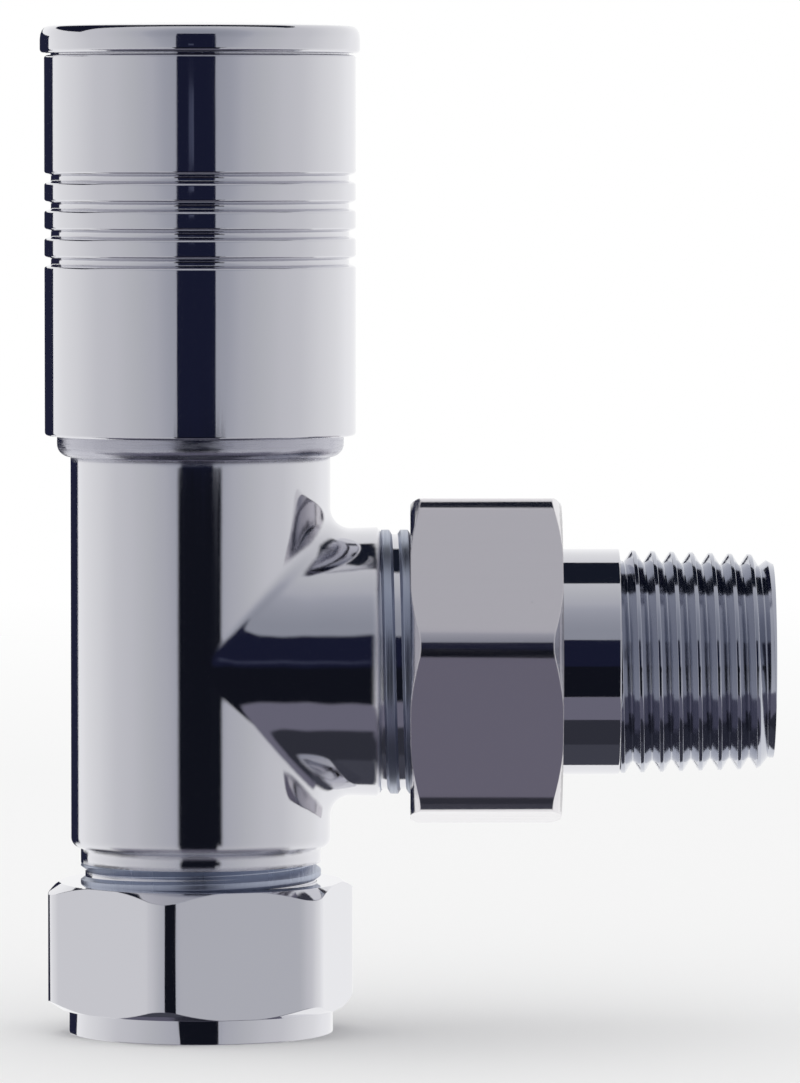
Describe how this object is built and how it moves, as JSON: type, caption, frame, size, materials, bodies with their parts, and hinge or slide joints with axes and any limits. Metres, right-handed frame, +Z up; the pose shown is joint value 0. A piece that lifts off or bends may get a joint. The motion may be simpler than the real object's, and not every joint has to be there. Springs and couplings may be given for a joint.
{
  "type": "angle radiator valve",
  "caption": "Chromed angle radiator valve: compression pipe inlet below, threaded union tail at the side, and a tall grooved handwheel cap that turns to open it.",
  "frame": {"origin": "centre of the compression nut's bottom face, on the valve's vertical axis", "axes": "+Z up the valve's axis to the handwheel cap, +X along the outlet to the tail's thread"},
  "size_m": [0.0688, 0.0326, 0.0948],
  "materials": {
    "chrome_plate": "polished chrome plate on brass",
    "bare_brass": "turned brass",
    "seal_rubber": "moulded nitrile rubber",
    "packing_ptfe": "turned PTFE",
    "insert_plastic": "moulded ABS",
    "zinc_steel": "zinc plated steel"
  },
  "bodies": {
    "compression_nut": {"compression_nut": "chrome_plate"},
    "olive": {"olive": "bare_brass"},
    "valve_body": {"valve_body": "chrome_plate", "bonnet": "chrome_plate", "bonnet_seal": "seal_rubber", "gland_packing": "packing_ptfe", "gland_nut": "bare_brass", "gland_o_ring": "seal_rubber"},
    "valve_disc": {"valve_disc": "bare_brass", "seat_washer": "seal_rubber", "washer_screw": "bare_brass", "disc_clip": "zinc_steel"},
    "handwheel": {"cap_sleeve": "chrome_plate", "drive_insert": "insert_plastic", "wheel_washer": "zinc_steel", "wheel_screw": "zinc_steel", "cap_cover": "chrome_plate", "spindle": "bare_brass"},
    "tailpiece": {"tailpiece": "chrome_plate", "tail_seal": "seal_rubber"},
    "union_nut": {"union_nut": "chrome_plate"}
  },
  "joints": [
    {"name": "compression_nut_turn", "type": "hinge", "parent": "compression_nut", "child": "olive", "pos_m": [0, 0, 0], "axis": [0, 0, 1], "range_deg": [0, 1440]},
    {"name": "body_lift", "type": "slide", "parent": "olive", "child": "valve_body", "axis": [0, 0, 1], "range_m": [0, 0.00726]},
    {"name": "disc_lift", "type": "slide", "parent": "valve_body", "child": "valve_disc", "axis": [0, 0, 1], "range_m": [0, 0.00451]},
    {"name": "handwheel_turn", "type": "hinge", "parent": "valve_disc", "child": "handwheel", "pos_m": [0, 0, 0], "axis": [0, 0, 1], "range_deg": [0, 1080]},
    {"name": "tail_draw", "type": "slide", "parent": "valve_body", "child": "tailpiece", "axis": [1, 0, 0], "range_m": [0, 0.00788]},
    {"name": "union_nut_turn", "type": "hinge", "parent": "tailpiece", "child": "union_nut", "pos_m": [0, 0, 0.0348], "axis": [1, 0, 0], "range_deg": [0, 1620]}
  ],
  "couplings": [
    {"joint": "body_lift", "follows": "compression_nut_turn", "m_per_rad": 0.00028871},
    {"joint": "disc_lift", "follows": "handwheel_turn", "m_per_rad": 0.00023873},
    {"joint": "tail_draw", "follows": "union_nut_turn", "m_per_rad": 0.00027852}
  ]
}
